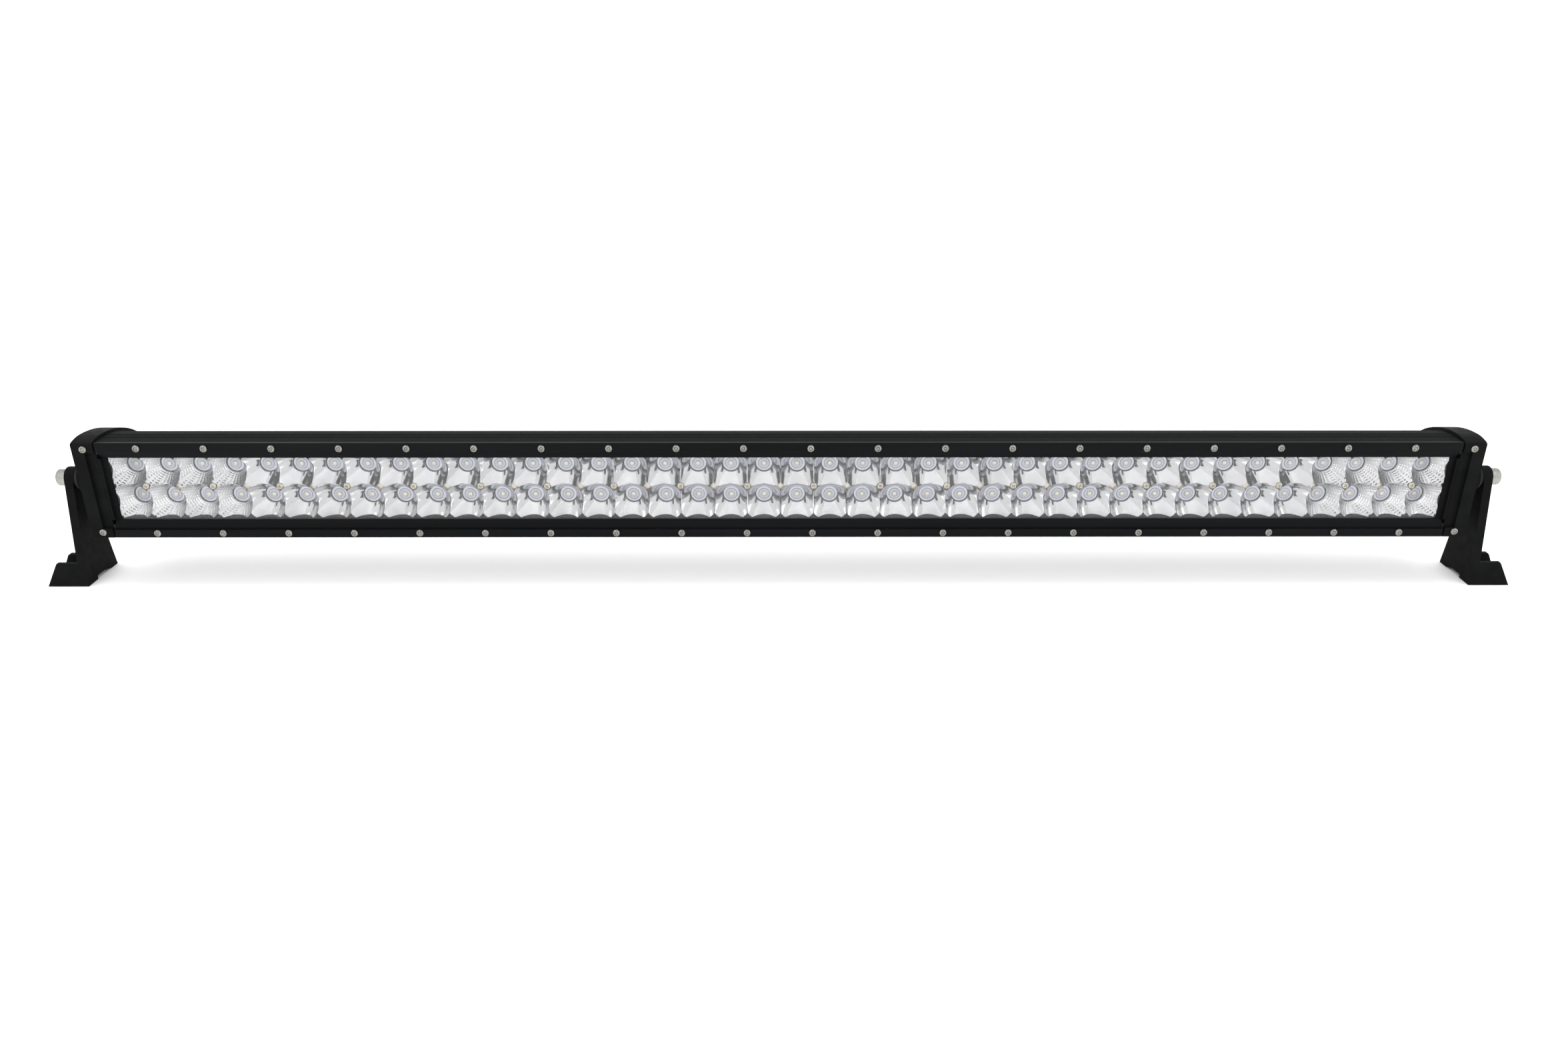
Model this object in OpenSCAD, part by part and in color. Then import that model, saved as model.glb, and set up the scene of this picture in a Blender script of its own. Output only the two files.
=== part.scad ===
// Straight double-row LED light bar on two side brackets.
// Frame: X runs along the bar, -Y is the way the lamp shines, Z is up.
// The origin is on the mounting surface, midway between the two feet.

/* [Optics] */
// Number of four-LED reflector modules side by side
module_count = 20; // [12:2:20]
// Length and height of one module, which holds two LEDs each way
module_pitch = 50.8; // [50:0.1:52]
// Depth of the reflector rims behind the bezel face
rim_depth = 9.6; // [9.6:0.1:10.4]
// Depth at which the reflector bowls would close
bowl_depth = 28.6; // [28:0.1:30]
// Diameter of the neck that lets each LED into its bowl
neck_d = 13.4; // [11:0.1:14]
// Wall thickness of the moulded reflectors
bowl_wall = 1; // [0.8:0.1:1.2]

/* [Lamp] */
// Height of the flat front frame
face_height = 76.6; // [75:0.2:79]
// Depth of the lamp from the bezel face to the back of the end caps
lamp_depth = 78; // [74:0.5:86]
// How far the end caps stand proud of the housing
cap_proud = 2.1; // [1.5:0.1:4]
// Thickness of each end cap along the bar
cap_length = 16.9; // [15:0.1:20]
// Thickness of the gaskets under the end caps
cap_gasket = 1.2; // [0.8:0.1:2]
// Clear height of the lens between the bezels
window_height = 50; // [48:0.5:52]
// Thickness of the lens
lens_thickness = 2.9; // [2:0.1:3]
// Number of cooling fins above and below the middle of the back
fin_pairs = 4; // [3:1:4]
// Pitch of the cooling fins
fin_pitch = 8; // [7:0.1:8]

/* [Screws] */
// Number of screws in each bezel
bezel_screws = 20; // [10:1:20]
// Distance between neighbouring bezel screws
bezel_screw_pitch = 50; // [46:0.5:50]
// Shift of the top screw row along the bar
top_row_shift = -2.5; // [-4:0.1:4]
// Shift of the bottom screw row along the bar
bottom_row_shift = -0.6; // [-4:0.1:4]
// Shank diameter of the small machine screws
screw_d = 3; // [2.5:0.1:3]
// Head diameter of the button-head screws
screw_head_d = 5.6; // [5:0.1:6]

/* [Brackets] */
// Height of the tilt axis above the mounting surface
pivot_height = 83; // [80:1:110]
// Height of the tilt axis above the middle of the lamp
pivot_rise = 3.5; // [0:0.5:6]
// Depth of the tilt axis behind the bezel face
pivot_setback = 21; // [20:0.5:26]
// Gap between each end cap and its bracket arm
bracket_gap = 12; // [11:0.5:16]
// Thickness of the bracket arm
arm_thickness = 6.5; // [5:0.5:8]
// Radius of the round top of the arm
arm_top_r = 8.5; // [8.5:0.1:10]
// Depth of the foot, front to back
foot_depth = 43; // [40:1:50]
// Reach of the foot outward from the arm at the mounting surface
foot_reach = 25; // [24:0.5:32]
// Reach of the foot outward from the arm at the top of its ribs
foot_top_reach = 15.7; // [12:0.1:20]
// Height of the ribs on the foot
foot_height = 18.4; // [14:0.2:22]
// Thickness of the foot plate that the mounting bolts clamp
foot_plate = 5; // [4:0.5:7]
// Width of the mounting slots
slot_width = 6.6; // [5.4:0.1:7]
// End-to-end length of the mounting slots
slot_length = 12; // [9:0.5:13]
// Diameter of the pivot bolts
pivot_bolt_d = 8; // [6:1:8]

/* [Hidden] */
$fn = 64;
function two_digits(n) = n < 10 ? str("0", n) : str(n);
REFLECTORS = [for (i = [1 : module_count]) str("reflector_", two_digits(i))];

black_paint = [0.07, 0.07, 0.075];
stainless = [0.78, 0.78, 0.8];
rubber_black = [0.03, 0.03, 0.03];
mirror_silver = [0.85, 0.86, 0.88];

fit = 0.06;                 // radial clearance of a shank in its hole
slip = 0.1;                 // clearance between parts that slide together
loose = 0.4;                // diameter play of counterbores and board holes
over = 1;                   // how far cutting and joining shapes run past a face
hole_extra = 0.5;           // how far a blind hole runs past its screw
inside_gap = 0.4;           // end play of the optics in the housing
optics_length = module_count * module_pitch;
housing_half = optics_length / 2 + inside_gap;
cap_inner = housing_half + cap_gasket;
cap_outer = cap_inner + cap_length;
face_half = face_height / 2;
window_half = window_height / 2;

// Bezel section, from the front face back
bezel_flange = 3.5;
bezel_edge = 0.6;
groove_z = face_half - 7.7;
groove_width = 0.9;
groove_depth = 2.6;
lip_front = 5.2;
lip_back = 6;
lip_outer = face_half - 6.9;

// Lens seat
lens_front = lip_back + 0.5;
lens_back = lens_front + lens_thickness;
lens_half_z = lip_outer - 0.6;
lens_half_x = housing_half - 0.8;
seat_lap = 3.8;
seat_thickness = 2.6;
window_half_x = housing_half - 5;
seal_margin = 1;

// Housing and circuit boards
cavity_half = face_half - 5.9;
board_front = bowl_depth - 0.8;
board_thickness = 1.6;
board_margin = 0.6;
board_seam = 0.2;
wire_hole_d = 5;
plate_front = board_front + board_thickness;
plate_back = plate_front + 4.6;
plate_hole = 3.4;
// Steps from the ellipse to the back plate: depth in front of the plate, drop from the top
shoulder = [[0.5, 3.6], [0, 5]];
fin_thickness = 2;
fin_tip = 0.5;
line_depths = [13.2, 19.5];
line_width = 1.2;
line_cut = 0.8;
pocket_x = (module_count / 2 - 1) * module_pitch;
pocket_half_x = 14;
pocket_half_z = 16.5;
port_d = 12;

// End cap and housing outlines share one ellipse behind this depth
bulge_start = 14;
bulge_a = lamp_depth - bulge_start;
bulge_b = face_half + 2.5;
cap_wall = 4;
cap_front_wall = 12;
cap_edge = 1.6;
cap_frame = 10;
cap_lip = 2;
cap_lip_front = groove_depth + 0.2;
cap_hollow_drop = 10;
cap_pillar_r = 10;
side_pillar_r = 4;
cap_seal_inset = cap_proud + 0.8;
cap_seal_opening = window_half + 3.4;

// Pivot stack between cap and bracket head
cap_boss_r = 12;
cap_boss_length = bracket_gap - 5;
friction_washer_r = 10;
friction_washer_t = 2.5;
hub_length = bracket_gap - cap_boss_length - friction_washer_t;
bolt_length = 31;
bolt_head_r = 6.5;
bolt_head_h = 8;
bolt_head_edge = 0.6;
bolt_socket = 6;
bolt_socket_depth = 4;
arm_inner = cap_outer + bracket_gap;
arm_outer = arm_inner + arm_thickness;

// Foot of the bracket
foot_rib = 4;
foot_walls = 11;
foot_edge = 0.8;
slot_y = 9;
slot_start = 5.5;
relief_height = 3;
relief_front = -7.7;
relief_slope_start = 3;
relief_back = 12.5;

// Cable gland and breather vent
gland_bore = 7;
gland_hex = 15;
gland_flange = 4;
gland_neck = 6;
gland_neck_d = 13;
gland_spigot = 4.5;
o_ring_t = 1;
seal_d = 10;
seal_proud = 0.8;
cable_d = 6;
nut_length = 10;
nut_d = 16.4;
nut_taper = 2.5;
nut_end_d = 11.2;
nut_gap = 0.3;
vent_flange = 3;
vent_length = 6.5;
vent_cap_d = 13.6;
vent_bore = 4;
vent_slot = 1.2;
vent_slot_z = 4.6;

// Screws and LEDs
screw_head_h = 1.7;
socket = 2;
socket_depth = 1;
side_head_d = 6;
side_head_h = 1.9;
bezel_screw_z = face_half - 4.1;
bezel_screw_length = 10;
cap_screw_x = cap_inner + 7.3;
cap_screw_z = face_half - 4.8;
side_screw_places = [[20, face_half - 4], [20, 4 - face_half], [31.7, 16], [31.7, -16]];
side_screw_length = 25;
reflector_head_top = rim_depth + 0.3;
led_body_d = 9.4;
led_body_h = 1.1;
led_dome_r = 2.8;

// ---- Placing helpers -------------------------------------------------

// Lamp frame: front face at Y = 0, middle of the lamp at Z = 0
module lamp_frame() {
    translate([0, -pivot_setback, pivot_height - pivot_rise]) children();
}

// Extrudes a (Y, Z) outline along X from x0 to x1
module along_x(x0, x1) {
    translate([x0, 0, 0]) rotate([90, 0, 90]) linear_extrude(x1 - x0) children();
}

// Turns a shape drawn up +Z so that it points forward, along -Y
module facing_front() {
    rotate([90, 0, 0]) children();
}

// Turns a shape drawn up +Z so that it points outward, along +X
module facing_right() {
    rotate([0, 90, 0]) children();
}

module mirror_left() {
    mirror([1, 0, 0]) children();
}

function module_x(i) = (i - (module_count - 1) / 2) * module_pitch;
function bezel_screw_x(i, shift) = (i - (bezel_screws - 1) / 2) * bezel_screw_pitch + shift;
function flip_z(points) = [for (i = [len(points) - 1 : -1 : 0]) [points[i][0], -points[i][1]]];
function ellipse_point(t, inset) =
    [bulge_start + (bulge_a - inset) * cos(t), (bulge_b - inset) * sin(t)];
// Depth at which a fin of half-height z meets the housing's envelope
function fin_reach(z) =
    bulge_start + (bulge_a - cap_proud) * sqrt(1 - pow(z / (bulge_b - cap_proud), 2));
function bowl_r(depth) = sqrt(module_pitch / 4 * (bowl_depth - depth));

// ---- Screws ----------------------------------------------------------

// Button-head screw: head above Z = 0, shank below
module button_screw(length, head_d = screw_head_d, head_h = screw_head_h) {
    difference() {
        union() {
            rotate_extrude()
                polygon(concat([[0, 0]],
                    [for (t = [0 : 18 : 90]) [head_d / 2 * cos(t), head_h * sin(t)]]));
            translate([0, 0, -length]) cylinder(h = length, d = screw_d);
        }
        translate([0, 0, head_h - socket_depth])
            cylinder(h = socket_depth + over, d = socket / cos(30), $fn = 6);
    }
}

module bezel_screw_row(z, shift) {
    color(stainless)
        lamp_frame()
            for (i = [0 : bezel_screws - 1])
                translate([bezel_screw_x(i, shift), 0, z])
                    facing_front() button_screw(bezel_screw_length);
}

module cap_front_screws() {
    color(stainless)
        lamp_frame()
            for (z = [-cap_screw_z, cap_screw_z])
                translate([cap_screw_x, 0, z]) facing_front() button_screw(bezel_screw_length);
}

module cap_side_screws() {
    color(stainless)
        lamp_frame()
            for (p = side_screw_places)
                translate([cap_outer, p[0], p[1]])
                    facing_right() button_screw(side_screw_length, side_head_d, side_head_h);
}

// ---- Housing and bezels ----------------------------------------------

module housing_outline() {
    half = fin_thickness / 2;
    outer = concat(
        [[bezel_flange, face_half]],
        [for (y = line_depths) each line_notch(y)],
        [for (t = [78 : -3 : 72]) ellipse_point(t, cap_proud)],
        [for (s = shoulder) [plate_back - s[0], bulge_b - cap_proud - s[1]]],
        [for (n = [fin_pairs - 1 : -1 : 0]) each fin_points((n + 0.5) * fin_pitch, half)]);
    inner = [[plate_front, cavity_half], [lens_back + seat_thickness, cavity_half],
             [lens_back + seat_thickness, lip_outer - seat_lap],
             [lens_back, lip_outer - seat_lap], [lens_back, lip_outer],
             [bezel_flange, lip_outer]];
    polygon(concat(outer, flip_z(outer), flip_z(inner), inner));
}

// A V-shaped line pressed into the top of the housing at depth y
function line_notch(y) =
    let (z = y < bulge_start ? face_half : bulge_b - cap_proud)
        [[y - line_width / 2, z], [y, z - line_cut],
         [y + line_width / 2, min(z, bulge_b - cap_proud)]];

// The four corners of the fin at height z, from its top root to its bottom root
function fin_points(z, half) =
    let (tip = fin_reach(z + half))
        [[plate_back, z + half], [tip - fin_tip, z + half], [tip, z + half - fin_tip],
         [tip, z - half + fin_tip], [tip - fin_tip, z - half], [plate_back, z - half]];

module housing() {
    color(black_paint)
        lamp_frame()
            difference() {
                along_x(-housing_half, housing_half) housing_outline();
                for (side = [-1, 1])
                    translate([side * pocket_x - pocket_half_x, plate_back, -pocket_half_z])
                        cube([2 * pocket_half_x, lamp_depth, 2 * pocket_half_z]);
                for (side = [-1, 1])
                    translate([side * pocket_x, plate_back + over, 0])
                        facing_front()
                            cylinder(h = plate_back - plate_front + 2 * over, d = port_d);
                bezel_screw_holes(bezel_screw_z, top_row_shift, bezel_flange);
                bezel_screw_holes(-bezel_screw_z, bottom_row_shift, bezel_flange);
                for (i = [0 : module_count - 1])
                    translate([module_x(i), plate_front + plate_hole, 0])
                        facing_front() cylinder(h = plate_hole + over, d = screw_d + 2 * fit);
                for (side = [0, 1], p = side_screw_places)
                    mirror([side, 0, 0])
                        translate([cap_outer - side_screw_length - hole_extra, p[0], p[1]])
                            facing_right()
                                cylinder(h = side_screw_length, d = screw_d + 2 * fit);
            }
}

module bezel_screw_holes(z, shift, from) {
    for (i = [0 : bezel_screws - 1])
        translate([bezel_screw_x(i, shift), bezel_screw_length + hole_extra, z])
            facing_front()
                cylinder(h = bezel_screw_length + hole_extra - from + over,
                         d = screw_d + 2 * fit);
}

module bezel(shift) {
    difference() {
        along_x(-housing_half, housing_half)
            polygon([[bezel_edge, face_half], [0, face_half - bezel_edge],
                     [0, groove_z + groove_width], [groove_depth, groove_z + groove_width],
                     [groove_depth, groove_z], [lip_front, window_half],
                     [lip_back, window_half], [lip_back, lip_outer - slip],
                     [bezel_flange, lip_outer - slip], [bezel_flange, face_half]]);
        bezel_screw_holes(bezel_screw_z, shift, 0);
    }
}

module top_bezel() {
    color(black_paint) lamp_frame() bezel(top_row_shift);
}

module bottom_bezel() {
    color(black_paint) lamp_frame() mirror([0, 0, 1]) bezel(bottom_row_shift);
}

// ---- End caps and gaskets --------------------------------------------

// Side outline of the cap, drawn in by inset
module cap_outline(inset) {
    top = concat(
        [[inset, face_half - bezel_edge - inset], [bezel_edge + inset, face_half - inset]],
        [for (y = [3 : 3.6 : bulge_start - 3])
            [y, face_half - inset + (bulge_b - face_half) * sin(90 * y / bulge_start)]],
        [for (t = [90 : -6 : 6]) ellipse_point(t, inset)]);
    polygon(concat(top, [[lamp_depth - inset, 0]], flip_z(top)));
}

// The hollow of the cap, behind its front frame
module cap_hollow_outline() {
    top = concat([[cap_front_wall, face_half - cap_hollow_drop]],
                 [for (t = [84 : -6 : 6]) ellipse_point(t, cap_wall)]);
    polygon(concat(top, [[lamp_depth - cap_wall, 0]], flip_z(top)));
}

// Part of the cap that reaches in between the bezels, from depth y back
module cap_lip_outline(y) {
    half = window_half - slip;
    polygon([[y, -half], [y, half], [lip_back, half], [lip_back, -half]]);
}

module cap_body() {
    difference() {
        union() {
            along_x(cap_inner, cap_outer - cap_edge) cap_outline(0);
            along_x(cap_outer - cap_edge, cap_outer - cap_edge / 2) cap_outline(cap_edge / 5);
            along_x(cap_outer - cap_edge / 2, cap_outer) cap_outline(cap_edge / 1.6);
            along_x(window_half_x, cap_inner)
                cap_lip_outline(lip_front);
            along_x(cap_inner - cap_lip, cap_inner)
                cap_lip_outline(cap_lip_front);
        }
        difference() {
            along_x(cap_inner - over, cap_outer - cap_wall) cap_hollow_outline();
            translate([cap_inner, pivot_setback, pivot_rise])
                facing_right() cylinder(h = cap_length, r = cap_pillar_r);
            for (p = side_screw_places)
                translate([cap_inner, p[0], p[1]])
                    facing_right() cylinder(h = cap_length, r = side_pillar_r);
        }
        translate([cap_inner - cap_lip - over, -over, -groove_z])
            cube([cap_length - cap_frame + cap_lip + over, groove_depth + over, 2 * groove_z]);
    }
}

module end_cap() {
    color(black_paint)
        lamp_frame()
            difference() {
                union() {
                    cap_body();
                    translate([cap_outer - over, pivot_setback, pivot_rise])
                        facing_right() cylinder(h = cap_boss_length + over, r = cap_boss_r);
                }
                translate([arm_outer - bolt_length - over, pivot_setback, pivot_rise])
                    facing_right() cylinder(h = bolt_length, d = pivot_bolt_d + 2 * fit);
                for (z = [-cap_screw_z, cap_screw_z])
                    translate([cap_screw_x, bezel_screw_length + hole_extra, z])
                        facing_front()
                            cylinder(h = bezel_screw_length + hole_extra + over,
                                     d = screw_d + 2 * fit);
                for (p = side_screw_places)
                    translate([cap_inner - over, p[0], p[1]])
                        facing_right()
                            cylinder(h = cap_length + 2 * over, d = screw_d + 2 * fit);
            }
}

// Flat gasket between the cap and the end of the housing
module cap_seal() {
    color(rubber_black)
        lamp_frame()
            difference() {
                along_x(housing_half, cap_inner)
                    difference() {
                        intersection() {
                            cap_outline(cap_seal_inset);
                            translate([bezel_edge, -lamp_depth / 2])
                                square([plate_back - bezel_edge, lamp_depth]);
                        }
                        translate([-over, -cap_seal_opening])
                            square([plate_front - over, 2 * cap_seal_opening]);
                    }
                for (p = side_screw_places)
                    translate([housing_half - over, p[0], p[1]])
                        facing_right()
                            cylinder(h = cap_gasket + 2 * over, d = screw_d + 2 * fit);
            }
}

// ---- Lens ------------------------------------------------------------

module lens() {
    color([0.9, 0.93, 0.95, 0.35])
        lamp_frame()
            translate([-lens_half_x, lens_front, -lens_half_z])
                cube([2 * lens_half_x, lens_thickness, 2 * lens_half_z]);
}

module lens_gasket() {
    color(rubber_black)
        lamp_frame()
            difference() {
                translate([-lens_half_x, lip_back, -lens_half_z])
                    cube([2 * lens_half_x, lens_front - lip_back, 2 * lens_half_z]);
                translate([-window_half_x - seal_margin, lip_back - over,
                           -window_half - seal_margin])
                    cube([2 * (window_half_x + seal_margin), lens_front - lip_back + 2 * over,
                          window_height + 2 * seal_margin]);
            }
}

// ---- Reflectors and LEDs ---------------------------------------------

// One bowl, opening along +Z, with its rim plane at Z = -rim_depth
module bowl() {
    neck_depth = bowl_depth - pow(neck_d, 2) / module_pitch;
    steps = 7;
    depths = [for (k = [0 : steps]) rim_depth + (neck_depth - rim_depth) * k / steps];
    intersection() {
        rotate_extrude()
            polygon(concat([for (d = depths) [bowl_r(d), -d]],
                           [for (k = [steps : -1 : 0])
                               [bowl_r(depths[k]) + bowl_wall, -depths[k]]]));
        translate([-module_pitch / 4, -module_pitch / 4, -bowl_depth])
            cube([module_pitch / 2, module_pitch / 2, bowl_depth]);
    }
}

module reflector(i) {
    quarter = module_pitch / 4;
    base = board_front - 2.6;
    base_thickness = 1.2;
    post_r = 2.9;
    side_length = module_pitch - 2 * slip;
    color(mirror_silver)
        lamp_frame()
            translate([module_x(i), 0, 0])
                facing_front()
                    difference() {
                        union() {
                            for (x = [-1, 1], z = [-1, 1])
                                translate([x * quarter, z * quarter, 0]) bowl();
                            translate([0, 0, -board_front])
                                cylinder(h = board_front - reflector_head_top - screw_head_h,
                                         r = post_r);
                            difference() {
                                translate([-side_length / 2, -side_length / 2,
                                           -base - base_thickness])
                                    cube([side_length, side_length, base_thickness]);
                                for (x = [-1, 1], z = [-1, 1])
                                    translate([x * quarter, z * quarter,
                                               -base - base_thickness - over])
                                        cylinder(h = base_thickness + 2 * over, d = neck_d);
                            }
                        }
                        for (side = [0, 1])
                            mirror([side, 0, 0])
                                translate([side_length / 2, -module_pitch, -board_front - over])
                                    cube([over + slip, 2 * module_pitch, board_front + over]);
                        translate([0, 0, -board_front - over])
                            cylinder(h = board_front + 2 * over, d = screw_d + 2 * slip);
                        translate([0, 0, -reflector_head_top - screw_head_h])
                            cylinder(h = screw_head_h + 2 * over, d = screw_head_d + loose);
                    }
}

module reflector_screws() {
    under = reflector_head_top + screw_head_h;
    color([0.8, 0.77, 0.7])
        lamp_frame()
            for (i = [0 : module_count - 1])
                translate([module_x(i), under, 0])
                    facing_front() button_screw(plate_front + plate_hole - slip - under);
}

// Half of the bar's circuit board, from x0 to x1
module led_board(x0, x1) {
    color([0.86, 0.84, 0.78])
        lamp_frame()
            difference() {
                translate([x0, board_front, -module_pitch / 2 - board_margin])
                    cube([x1 - x0, board_thickness, module_pitch + 2 * board_margin]);
                for (i = [0 : module_count - 1])
                    translate([module_x(i), plate_front + over, 0])
                        facing_front()
                            cylinder(h = board_thickness + 2 * over, d = screw_d + loose);
                for (side = [-1, 1])
                    translate([side * pocket_x, plate_front + over, 0])
                        facing_front() cylinder(h = board_thickness + 2 * over, d = wire_hole_d);
            }
}

// Repeats its children at every LED, drawn facing forward from the board
module at_leds() {
    lamp_frame()
        for (i = [0 : module_count - 1], x = [-1, 1], z = [-1, 1])
            translate([module_x(i) + x * module_pitch / 4, board_front, z * module_pitch / 4])
                facing_front() children();
}

module led_bodies() {
    color([0.62, 0.66, 0.74]) at_leds() cylinder(h = led_body_h, d = led_body_d);
}

module led_domes() {
    color([0.93, 0.9, 0.55])
        at_leds()
            translate([0, 0, led_body_h])
                intersection() {
                    sphere(r = led_dome_r);
                    cylinder(h = led_dome_r, r = led_dome_r);
                }
}

// Current driver on a strip in the channel below the reflectors
module driver_board() {
    strip = [300, 13, 1.4];
    block = [12, 8, 3];
    parts = 10;
    color([0.1, 0.3, 0.16])
        lamp_frame()
            translate([-strip[0] / 2, plate_front - over - strip[1], -cavity_half]) {
                cube(strip);
                for (i = [0 : parts - 1])
                    translate([strip[0] / parts * (i + 0.5) - block[0] / 2,
                               (strip[1] - block[1]) / 2, strip[2]])
                        cube(block);
            }
}

// ---- Cable gland and vent --------------------------------------------

// Places a part drawn up +Z on the back plate, pointing backward
module on_back(side) {
    lamp_frame()
        translate([side * pocket_x, plate_back, 0]) rotate([-90, 0, 0]) children();
}

module gland_body() {
    color(rubber_black)
        on_back(1)
            difference() {
                union() {
                    translate([0, 0, o_ring_t])
                        cylinder(h = gland_flange, d = gland_hex / cos(30), $fn = 6);
                    translate([0, 0, -gland_spigot])
                        cylinder(h = gland_spigot + o_ring_t + over, d = port_d - 2 * fit);
                    translate([0, 0, o_ring_t])
                        cylinder(h = gland_flange + gland_neck, d = gland_neck_d);
                }
                translate([0, 0, -gland_spigot - over])
                    cylinder(h = lamp_depth, d = gland_bore);
                translate([0, 0, o_ring_t + gland_flange]) cylinder(h = lamp_depth, d = seal_d);
            }
}

module gland_seal() {
    color([0.1, 0.1, 0.1])
        on_back(1)
            translate([0, 0, o_ring_t + gland_flange])
                difference() {
                    cylinder(h = gland_neck + seal_proud, d = seal_d - slip);
                    translate([0, 0, -over])
                        cylinder(h = gland_neck + seal_proud + 2 * over, d = cable_d);
                }
}

module gland_nut() {
    color(rubber_black)
        on_back(1)
            translate([0, 0, o_ring_t + gland_flange + nut_gap])
                difference() {
                    union() {
                        cylinder(h = nut_length - nut_taper, d = nut_d);
                        translate([0, 0, nut_length - nut_taper])
                            cylinder(h = nut_taper, d1 = nut_d, d2 = nut_end_d);
                    }
                    translate([0, 0, -over])
                        cylinder(h = gland_neck + seal_proud - nut_gap + slip + over,
                                 d = gland_neck_d + slip);
                    cylinder(h = nut_length + over, d = gland_bore);
                }
}

module gland_o_ring() {
    color([0.05, 0.05, 0.05])
        on_back(1)
            difference() {
                cylinder(h = o_ring_t, d = gland_hex);
                translate([0, 0, -over]) cylinder(h = o_ring_t + 2 * over, d = port_d);
            }
}

// Breather that lets the lamp equalise its pressure
module breather_vent() {
    color(rubber_black)
        on_back(-1)
            difference() {
                union() {
                    translate([0, 0, -gland_spigot])
                        cylinder(h = gland_spigot, d = port_d - 2 * fit);
                    cylinder(h = vent_flange, d = gland_hex / cos(30), $fn = 6);
                    cylinder(h = vent_length, d = vent_cap_d);
                }
                translate([0, 0, -gland_spigot - over])
                    cylinder(h = gland_spigot + over + vent_bore, d = vent_bore);
                for (a = [0 : 60 : 300])
                    rotate([0, 0, a])
                        translate([vent_bore, -vent_slot / 2, vent_slot_z])
                            cube([vent_cap_d / 2, vent_slot, vent_slot]);
            }
}

// ---- Brackets and pivots ---------------------------------------------

// Side outline of the bracket: a foot-wide base tapering to a round head
module bracket_outline() {
    half = foot_depth / 2;
    reach = sqrt(half * half + pivot_height * pivot_height);
    tangent = sqrt(reach * reach - arm_top_r * arm_top_r);
    lean = atan2(pivot_height, -half) - asin(arm_top_r / reach);
    touch = [half + tangent * cos(lean), tangent * sin(lean)];
    polygon([[half, 0], touch, [0, pivot_height], [-touch[0], touch[1]], [-half, 0]]);
}

// Outline of the foot seen from the front, outward from the arm
module foot_outline() {
    polygon([[arm_outer - over, 0], [arm_outer + foot_reach, 0],
             [arm_outer + foot_top_reach + foot_edge, foot_height - foot_edge],
             [arm_outer + foot_top_reach, foot_height], [arm_outer - over, foot_height]]);
}

module foot() {
    pocket = (foot_depth - foot_walls - foot_rib) / 2;
    difference() {
        intersection() {
            translate([0, foot_depth, 0])
                rotate([90, 0, 0]) linear_extrude(2 * foot_depth) foot_outline();
            along_x(arm_outer - over, arm_outer + foot_reach + over) bracket_outline();
        }
        for (side = [-1, 1])
            translate([arm_outer, side * (foot_rib + pocket) / 2 - pocket / 2, foot_plate])
                cube([foot_reach + over, pocket, foot_height]);
        for (side = [-1, 1])
            translate([arm_outer + slot_start, side * slot_y, -over])
                slot(foot_plate + 2 * over);
    }
}

// Slot along X, starting at X = 0
module slot(height) {
    for (x = [slot_width / 2, slot_length - slot_width / 2])
        translate([x, 0, 0]) cylinder(h = height, d = slot_width);
    translate([slot_width / 2, -slot_width / 2, 0])
        cube([slot_length - slot_width, slot_width, height]);
}

module bracket() {
    color(black_paint)
        difference() {
            union() {
                along_x(arm_inner, arm_outer) bracket_outline();
                translate([arm_inner - hub_length, 0, pivot_height])
                    facing_right() cylinder(h = hub_length + arm_thickness, r = arm_top_r);
                foot();
            }
            translate([arm_inner - hub_length - over, 0, pivot_height])
                facing_right()
                    cylinder(h = hub_length + arm_thickness + 2 * over,
                             d = pivot_bolt_d + 2 * fit);
            along_x(arm_inner - over, arm_outer)
                polygon([[relief_front, -over], [relief_front, relief_height - 1],
                         [relief_front + 1, relief_height], [relief_slope_start, relief_height],
                         [relief_back, 0], [relief_back, -over]]);
        }
}

module pivot_bolt() {
    color(stainless)
        translate([arm_outer, 0, pivot_height])
            facing_right()
                difference() {
                    union() {
                        cylinder(h = bolt_head_h - bolt_head_edge, r = bolt_head_r);
                        translate([0, 0, bolt_head_h - bolt_head_edge])
                            cylinder(h = bolt_head_edge, r1 = bolt_head_r,
                                     r2 = bolt_head_r - bolt_head_edge);
                        translate([0, 0, -bolt_length]) cylinder(h = bolt_length, d = pivot_bolt_d);
                    }
                    translate([0, 0, bolt_head_h - bolt_socket_depth])
                        cylinder(h = bolt_socket_depth + over, d = bolt_socket / cos(30), $fn = 6);
                }
}

// Washer on the tilt axis, between the cap's boss and the bracket's hub
module friction_washer() {
    color(rubber_black)
        translate([cap_outer + cap_boss_length, 0, pivot_height])
            facing_right()
                difference() {
                    cylinder(h = friction_washer_t, r = friction_washer_r);
                    translate([0, 0, -over])
                        cylinder(h = friction_washer_t + 2 * over, d = pivot_bolt_d + 2 * fit);
                }
}

// ---- Nodes -----------------------------------------------------------

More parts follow.
